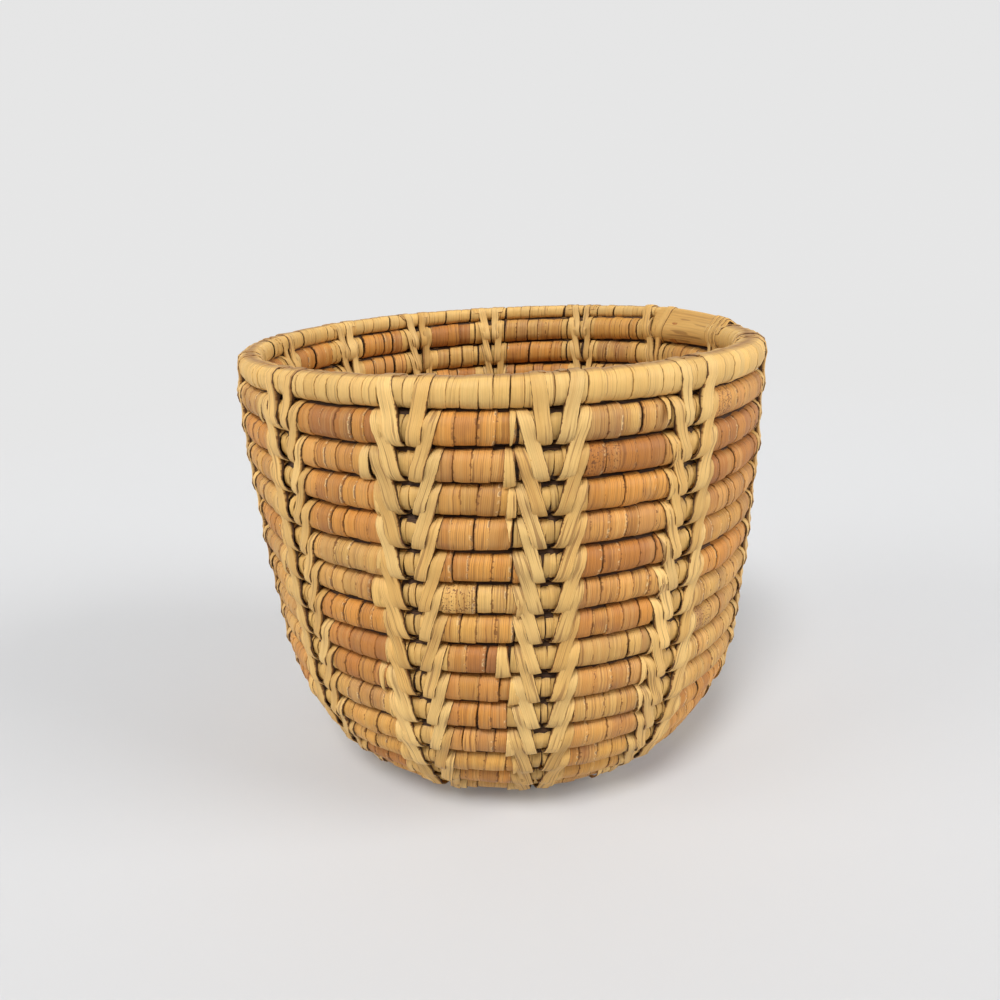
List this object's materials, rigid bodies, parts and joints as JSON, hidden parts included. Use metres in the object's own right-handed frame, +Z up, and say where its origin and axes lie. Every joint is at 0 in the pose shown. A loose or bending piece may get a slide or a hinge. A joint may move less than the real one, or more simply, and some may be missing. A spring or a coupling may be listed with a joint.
{
  "type": "coiled basket",
  "caption": "Round open basket wound from one wrapped coil, with a rounded foot, a tapered rim end and columns of V stitches up the wall.",
  "frame": {"origin": "under the middle of the base, on the plane the basket stands on", "axes": "+Z up out of the mouth; -Y is the front as pictured; the rim's tapered end is towards +X"},
  "size_m": [0.2034, 0.2035, 0.171],
  "materials": {
    "wrapped_palm": "dry split plant strips, satin, in browns and oranges",
    "pale_palm": "dry split plant strips, satin, pale straw"
  },
  "bodies": {
    "root": {"wrapped_coil": "wrapped_palm", "stitch_column_01": "pale_palm", "stitch_column_02": "pale_palm", "stitch_column_03": "pale_palm", "stitch_column_04": "pale_palm", "stitch_column_05": "pale_palm", "stitch_column_06": "pale_palm", "stitch_column_07": "pale_palm", "stitch_column_08": "pale_palm", "stitch_column_09": "pale_palm", "stitch_column_10": "pale_palm", "stitch_column_11": "pale_palm", "stitch_column_12": "pale_palm", "stitch_column_13": "pale_palm", "rim_end_strip": "pale_palm"}
  },
  "joints": []
}
